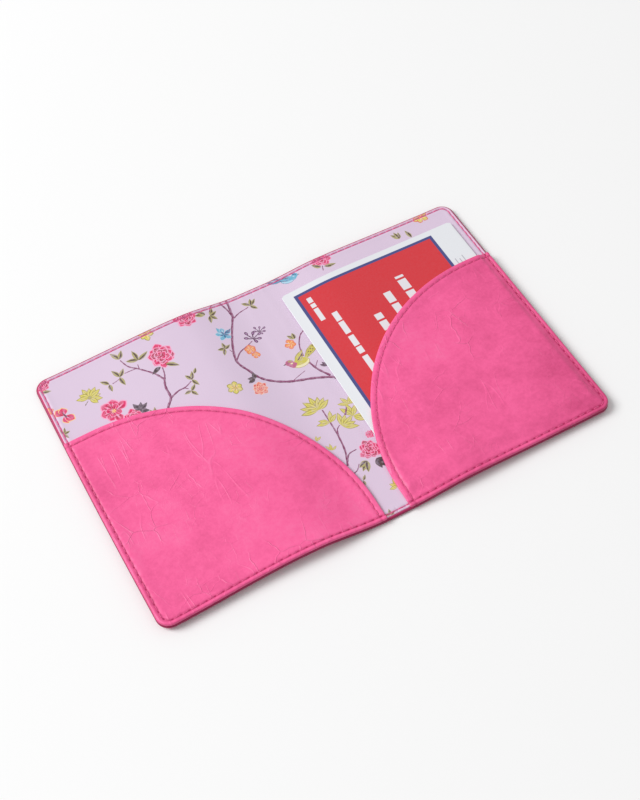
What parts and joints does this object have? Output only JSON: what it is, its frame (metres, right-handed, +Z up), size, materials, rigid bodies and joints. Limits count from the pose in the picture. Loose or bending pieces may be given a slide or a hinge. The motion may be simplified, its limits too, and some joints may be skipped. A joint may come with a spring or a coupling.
{
  "type": "passport wallet",
  "caption": "Open bifold passport wallet in stitched soft leather, with a curved pocket on each panel, a printed lining and a folded card in one pocket.",
  "frame": {"origin": "centre of the open wallet's underside, under the middle of the spine, on the surface that it lies on", "axes": "+X across the open wallet to the right panel, +Y along the spine towards the pocket mouths, +Z up out of the inner face"},
  "size_m": [0.2204, 0.14, 0.0072],
  "materials": {
    "outer_leather": "satin, fine wrinkled grain",
    "pocket_leather": "satin, fine wrinkled grain",
    "printed_lining": "smooth, printed with flowers and birds",
    "stiffening_board": "matt",
    "spine_tape": "matt woven tape",
    "stitching": "twisted polyester thread",
    "card_paper": "semi-gloss"
  },
  "bodies": {
    "spine": {"cover_spine": "outer_leather", "spine_tape": "spine_tape", "lining_spine": "printed_lining", "needle_thread_spine": "stitching", "bobbin_thread_spine": "stitching"},
    "left_panel": {"cover_left": "outer_leather", "board_left": "stiffening_board", "lining_left": "printed_lining", "pocket_left": "pocket_leather", "pocket_side_edge_left": "pocket_leather", "pocket_foot_edge_left": "pocket_leather", "pocket_hem_left": "pocket_leather", "needle_thread_left": "stitching", "bobbin_thread_left": "stitching", "hem_thread_left": "stitching"},
    "right_panel": {"cover_right": "outer_leather", "board_right": "stiffening_board", "lining_right": "printed_lining", "pocket_right": "pocket_leather", "pocket_side_edge_right": "pocket_leather", "pocket_foot_edge_right": "pocket_leather", "pocket_hem_right": "pocket_leather", "needle_thread_right": "stitching", "bobbin_thread_right": "stitching", "hem_thread_right": "stitching"},
    "card": {"insert_card": "card_paper"}
  },
  "joints": [
    {"name": "left_fold", "type": "hinge", "parent": "spine", "child": "left_panel", "pos_m": [-0.0052, 0, 0.0021], "axis": [0, 1, 0], "range_deg": [0, 90]},
    {"name": "right_fold", "type": "hinge", "parent": "spine", "child": "right_panel", "pos_m": [0.0052, 0, 0.0021], "axis": [0, -1, 0], "range_deg": [0, 90]},
    {"name": "card_slide", "type": "slide", "parent": "right_panel", "child": "card", "axis": [0, 1, 0], "range_m": [0, 0.1]}
  ]
}
